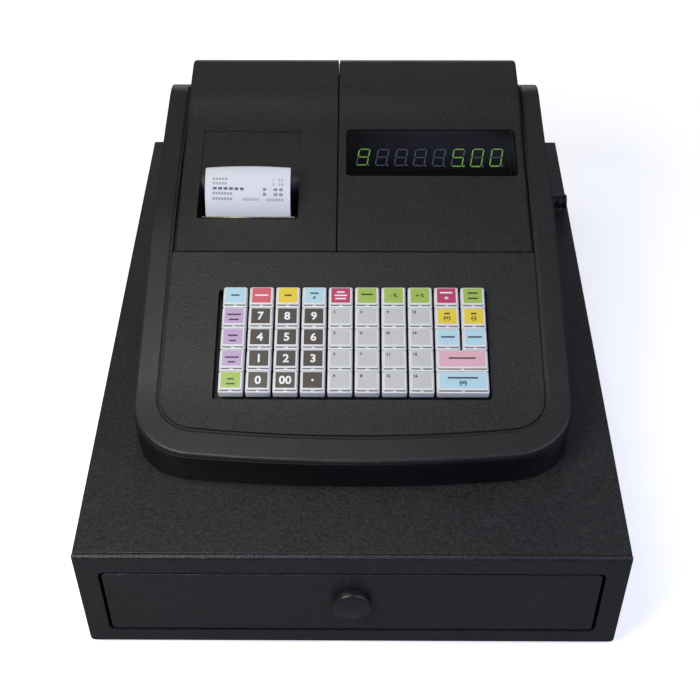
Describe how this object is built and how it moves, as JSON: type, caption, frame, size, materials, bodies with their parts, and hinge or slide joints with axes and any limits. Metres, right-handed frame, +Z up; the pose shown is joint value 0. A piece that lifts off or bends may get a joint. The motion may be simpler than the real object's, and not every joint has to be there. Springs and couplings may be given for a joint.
{
  "type": "cash register with drawer",
  "caption": "Small electronic cash register with raised keys, a smoked number display and a receipt printer, standing on a low steel cash drawer cabinet.",
  "frame": {"origin": "on the surface that the feet stand on, below the middle of the outline", "axes": "+X to the right seen from the front, +Y to the back, +Z up"},
  "size_m": [0.33, 0.429, 0.1919],
  "materials": {
    "cabinet_steel": "fine-textured black powder coat",
    "base_steel": "thin smooth black coat",
    "frame_plastic": "satin moulded black",
    "feet_rubber": "dull moulded rubber",
    "drawer_steel": "plain galvanised sheet",
    "tray_plastic": "satin moulded black",
    "lock_plastic": "polished black",
    "release_steel": "yellow passivated bracket",
    "skirt_plastic": "smooth satin black",
    "case_plastic": "fine pebble grain",
    "window_smoked": "polished smoked pane",
    "board_laminate": "lacquered board with a dark display module",
    "plate_steel": "dull grey coat",
    "printer_steel": "plain zinc-plated sheet",
    "platen_rubber": "ground rubber",
    "paper": "smooth white thermal paper",
    "gland_rubber": "dull moulded rubber",
    "clip_steel": "bright plated spring steel",
    "key_blue": "clear cap over a light blue label",
    "key_red": "clear cap over a red label",
    "key_yellow": "clear cap over a yellow label",
    "key_crimson": "clear cap over a crimson label",
    "key_green": "clear cap over a yellow-green label",
    "key_violet": "clear cap over a violet label",
    "key_number": "clear cap over a dark label",
    "key_pink": "clear cap over a pink label",
    "key_grey": "clear cap over a light grey label"
  },
  "bodies": {
    "root": {"cabinet_cover": "cabinet_steel", "cabinet_base": "base_steel", "front_frame": "frame_plastic", "cabinet_feet": "feet_rubber", "drawer_release": "release_steel", "lower_case": "skirt_plastic", "upper_case": "case_plastic", "display_cover": "case_plastic", "display_window": "window_smoked", "display_board": "board_laminate", "key_plate": "plate_steel", "printer_frame": "printer_steel", "cord_gland": "gland_rubber"},
    "drawer": {"drawer_box": "drawer_steel", "drawer_front": "frame_plastic", "cash_tray": "tray_plastic", "lock_cap": "lock_plastic"},
    "printer_cover": {"printer_cover": "case_plastic", "receipt_paper": "paper"},
    "platen_roller": {"platen_roller": "platen_rubber"},
    "paper_roll": {"paper_roll": "paper"},
    "note_clip_1": {"note_clip_1": "clip_steel"},
    "note_clip_2": {"note_clip_2": "clip_steel"},
    "note_clip_3": {"note_clip_3": "clip_steel"},
    "key_feed": {"key_feed": "key_blue"},
    "key_clear": {"key_clear": "key_red"},
    "key_lookup": {"key_lookup": "key_yellow"},
    "key_multiply": {"key_multiply": "key_blue"},
    "key_receipt": {"key_receipt": "key_crimson"},
    "key_clerk": {"key_clerk": "key_green"},
    "key_minus_percent": {"key_minus_percent": "key_green"},
    "key_plus_percent": {"key_plus_percent": "key_green"},
    "key_no_sale": {"key_no_sale": "key_crimson"},
    "key_mode": {"key_mode": "key_green"},
    "key_return": {"key_return": "key_violet"},
    "key_7": {"key_7": "key_number"},
    "key_8": {"key_8": "key_number"},
    "key_9": {"key_9": "key_number"},
    "key_received": {"key_received": "key_yellow"},
    "key_paid_out": {"key_paid_out": "key_yellow"},
    "key_void": {"key_void": "key_violet"},
    "key_4": {"key_4": "key_number"},
    "key_5": {"key_5": "key_number"},
    "key_6": {"key_6": "key_number"},
    "key_check": {"key_check": "key_blue"},
    "key_charge": {"key_charge": "key_blue"},
    "key_cancel": {"key_cancel": "key_violet"},
    "key_1": {"key_1": "key_number"},
    "key_2": {"key_2": "key_number"},
    "key_3": {"key_3": "key_number"},
    "key_subtotal": {"key_subtotal": "key_pink"},
    "key_tax": {"key_tax": "key_green"},
    "key_0": {"key_0": "key_number"},
    "key_00": {"key_00": "key_number"},
    "key_point": {"key_point": "key_number"},
    "key_total": {"key_total": "key_blue"},
    "department_keys_1": {"department_keys_1": "key_grey"},
    "department_keys_2": {"department_keys_2": "key_grey"},
    "department_keys_3": {"department_keys_3": "key_grey"},
    "department_keys_4": {"department_keys_4": "key_grey"}
  },
  "joints": [
    {"name": "drawer_slide", "type": "slide", "parent": "root", "child": "drawer", "axis": [0, -1, 0], "range_m": [0, 0.29]},
    {"name": "note_clip_1_lift", "type": "hinge", "parent": "drawer", "child": "note_clip_1", "pos_m": [-0.094, 0.1625, 0.0529], "axis": [-1, 0, 0], "range_deg": [0, 46]},
    {"name": "note_clip_2_lift", "type": "hinge", "parent": "drawer", "child": "note_clip_2", "pos_m": [0, 0.1625, 0.0529], "axis": [-1, 0, 0], "range_deg": [0, 46]},
    {"name": "note_clip_3_lift", "type": "hinge", "parent": "drawer", "child": "note_clip_3", "pos_m": [0.094, 0.1625, 0.0529], "axis": [-1, 0, 0], "range_deg": [0, 46]},
    {"name": "paper_roll_spin", "type": "hinge", "parent": "root", "child": "paper_roll", "pos_m": [-0.0723, 0.1285, 0.1295], "axis": [-1, 0, 0], "continuous": true},
    {"name": "platen_spin", "type": "hinge", "parent": "root", "child": "platen_roller", "pos_m": [-0.0723, 0.0381, 0.13545], "axis": [-1, 0, 0], "continuous": true},
    {"name": "printer_cover_lift", "type": "hinge", "parent": "root", "child": "printer_cover", "pos_m": [-0.0723, 0.1815, 0.14547], "axis": [-1, 0, 0], "range_deg": [0, 70]},
    {"name": "key_feed_press", "type": "slide", "parent": "root", "child": "key_feed", "axis": [0, 0.2924, -0.9563], "range_m": [0, 0.0035], "stiffness_N_per_m": 150, "springref_m": -0.002},
    {"name": "key_clear_press", "type": "slide", "parent": "root", "child": "key_clear", "axis": [0, 0.2924, -0.9563], "range_m": [0, 0.0035], "stiffness_N_per_m": 150, "springref_m": -0.002},
    {"name": "key_lookup_press", "type": "slide", "parent": "root", "child": "key_lookup", "axis": [0, 0.2924, -0.9563], "range_m": [0, 0.0035], "stiffness_N_per_m": 150, "springref_m": -0.002},
    {"name": "key_multiply_press", "type": "slide", "parent": "root", "child": "key_multiply", "axis": [0, 0.2924, -0.9563], "range_m": [0, 0.0035], "stiffness_N_per_m": 150, "springref_m": -0.002},
    {"name": "key_receipt_press", "type": "slide", "parent": "root", "child": "key_receipt", "axis": [0, 0.2924, -0.9563], "range_m": [0, 0.0035], "stiffness_N_per_m": 150, "springref_m": -0.002},
    {"name": "key_clerk_press", "type": "slide", "parent": "root", "child": "key_clerk", "axis": [0, 0.2924, -0.9563], "range_m": [0, 0.0035], "stiffness_N_per_m": 150, "springref_m": -0.002},
    {"name": "key_minus_percent_press", "type": "slide", "parent": "root", "child": "key_minus_percent", "axis": [0, 0.2924, -0.9563], "range_m": [0, 0.0035], "stiffness_N_per_m": 150, "springref_m": -0.002},
    {"name": "key_plus_percent_press", "type": "slide", "parent": "root", "child": "key_plus_percent", "axis": [0, 0.2924, -0.9563], "range_m": [0, 0.0035], "stiffness_N_per_m": 150, "springref_m": -0.002},
    {"name": "key_no_sale_press", "type": "slide", "parent": "root", "child": "key_no_sale", "axis": [0, 0.2924, -0.9563], "range_m": [0, 0.0035], "stiffness_N_per_m": 150, "springref_m": -0.002},
    {"name": "key_mode_press", "type": "slide", "parent": "root", "child": "key_mode", "axis": [0, 0.2924, -0.9563], "range_m": [0, 0.0035], "stiffness_N_per_m": 150, "springref_m": -0.002},
    {"name": "key_return_press", "type": "slide", "parent": "root", "child": "key_return", "axis": [0, 0.2924, -0.9563], "range_m": [0, 0.0035], "stiffness_N_per_m": 150, "springref_m": -0.002},
    {"name": "key_7_press", "type": "slide", "parent": "root", "child": "key_7", "axis": [0, 0.2924, -0.9563], "range_m": [0, 0.0035], "stiffness_N_per_m": 150, "springref_m": -0.002},
    {"name": "key_8_press", "type": "slide", "parent": "root", "child": "key_8", "axis": [0, 0.2924, -0.9563], "range_m": [0, 0.0035], "stiffness_N_per_m": 150, "springref_m": -0.002},
    {"name": "key_9_press", "type": "slide", "parent": "root", "child": "key_9", "axis": [0, 0.2924, -0.9563], "range_m": [0, 0.0035], "stiffness_N_per_m": 150, "springref_m": -0.002},
    {"name": "key_received_press", "type": "slide", "parent": "root", "child": "key_received", "axis": [0, 0.2924, -0.9563], "range_m": [0, 0.0035], "stiffness_N_per_m": 150, "springref_m": -0.002},
    {"name": "key_paid_out_press", "type": "slide", "parent": "root", "child": "key_paid_out", "axis": [0, 0.2924, -0.9563], "range_m": [0, 0.0035], "stiffness_N_per_m": 150, "springref_m": -0.002},
    {"name": "key_void_press", "type": "slide", "parent": "root", "child": "key_void", "axis": [0, 0.2924, -0.9563], "range_m": [0, 0.0035], "stiffness_N_per_m": 150, "springref_m": -0.002},
    {"name": "key_4_press", "type": "slide", "parent": "root", "child": "key_4", "axis": [0, 0.2924, -0.9563], "range_m": [0, 0.0035], "stiffness_N_per_m": 150, "springref_m": -0.002},
    {"name": "key_5_press", "type": "slide", "parent": "root", "child": "key_5", "axis": [0, 0.2924, -0.9563], "range_m": [0, 0.0035], "stiffness_N_per_m": 150, "springref_m": -0.002},
    {"name": "key_6_press", "type": "slide", "parent": "root", "child": "key_6", "axis": [0, 0.2924, -0.9563], "range_m": [0, 0.0035], "stiffness_N_per_m": 150, "springref_m": -0.002},
    {"name": "key_check_press", "type": "slide", "parent": "root", "child": "key_check", "axis": [0, 0.2924, -0.9563], "range_m": [0, 0.0035], "stiffness_N_per_m": 150, "springref_m": -0.002},
    {"name": "key_charge_press", "type": "slide", "parent": "root", "child": "key_charge", "axis": [0, 0.2924, -0.9563], "range_m": [0, 0.0035], "stiffness_N_per_m": 150, "springref_m": -0.002},
    {"name": "key_cancel_press", "type": "slide", "parent": "root", "child": "key_cancel", "axis": [0, 0.2924, -0.9563], "range_m": [0, 0.0035], "stiffness_N_per_m": 150, "springref_m": -0.002},
    {"name": "key_1_press", "type": "slide", "parent": "root", "child": "key_1", "axis": [0, 0.2924, -0.9563], "range_m": [0, 0.0035], "stiffness_N_per_m": 150, "springref_m": -0.002},
    {"name": "key_2_press", "type": "slide", "parent": "root", "child": "key_2", "axis": [0, 0.2924, -0.9563], "range_m": [0, 0.0035], "stiffness_N_per_m": 150, "springref_m": -0.002},
    {"name": "key_3_press", "type": "slide", "parent": "root", "child": "key_3", "axis": [0, 0.2924, -0.9563], "range_m": [0, 0.0035], "stiffness_N_per_m": 150, "springref_m": -0.002},
    {"name": "key_subtotal_press", "type": "slide", "parent": "root", "child": "key_subtotal", "axis": [0, 0.2924, -0.9563], "range_m": [0, 0.0035], "stiffness_N_per_m": 150, "springref_m": -0.002},
    {"name": "key_tax_press", "type": "slide", "parent": "root", "child": "key_tax", "axis": [0, 0.2924, -0.9563], "range_m": [0, 0.0035], "stiffness_N_per_m": 150, "springref_m": -0.002},
    {"name": "key_0_press", "type": "slide", "parent": "root", "child": "key_0", "axis": [0, 0.2924, -0.9563], "range_m": [0, 0.0035], "stiffness_N_per_m": 150, "springref_m": -0.002},
    {"name": "key_00_press", "type": "slide", "parent": "root", "child": "key_00", "axis": [0, 0.2924, -0.9563], "range_m": [0, 0.0035], "stiffness_N_per_m": 150, "springref_m": -0.002},
    {"name": "key_point_press", "type": "slide", "parent": "root", "child": "key_point", "axis": [0, 0.2924, -0.9563], "range_m": [0, 0.0035], "stiffness_N_per_m": 150, "springref_m": -0.002},
    {"name": "key_total_press", "type": "slide", "parent": "root", "child": "key_total", "axis": [0, 0.2924, -0.9563], "range_m": [0, 0.0035], "stiffness_N_per_m": 150, "springref_m": -0.002},
    {"name": "department_keys_1_press", "type": "slide", "parent": "root", "child": "department_keys_1", "axis": [0, 0.2924, -0.9563], "range_m": [0, 0.0035], "stiffness_N_per_m": 150, "springref_m": -0.002},
    {"name": "department_keys_2_press", "type": "slide", "parent": "root", "child": "department_keys_2", "axis": [0, 0.2924, -0.9563], "range_m": [0, 0.0035], "stiffness_N_per_m": 150, "springref_m": -0.002},
    {"name": "department_keys_3_press", "type": "slide", "parent": "root", "child": "department_keys_3", "axis": [0, 0.2924, -0.9563], "range_m": [0, 0.0035], "stiffness_N_per_m": 150, "springref_m": -0.002},
    {"name": "department_keys_4_press", "type": "slide", "parent": "root", "child": "department_keys_4", "axis": [0, 0.2924, -0.9563], "range_m": [0, 0.0035], "stiffness_N_per_m": 150, "springref_m": -0.002}
  ],
  "couplings": [
    {"joint": "platen_spin", "follows": "paper_roll_spin", "ratio": 4.1539}
  ]
}
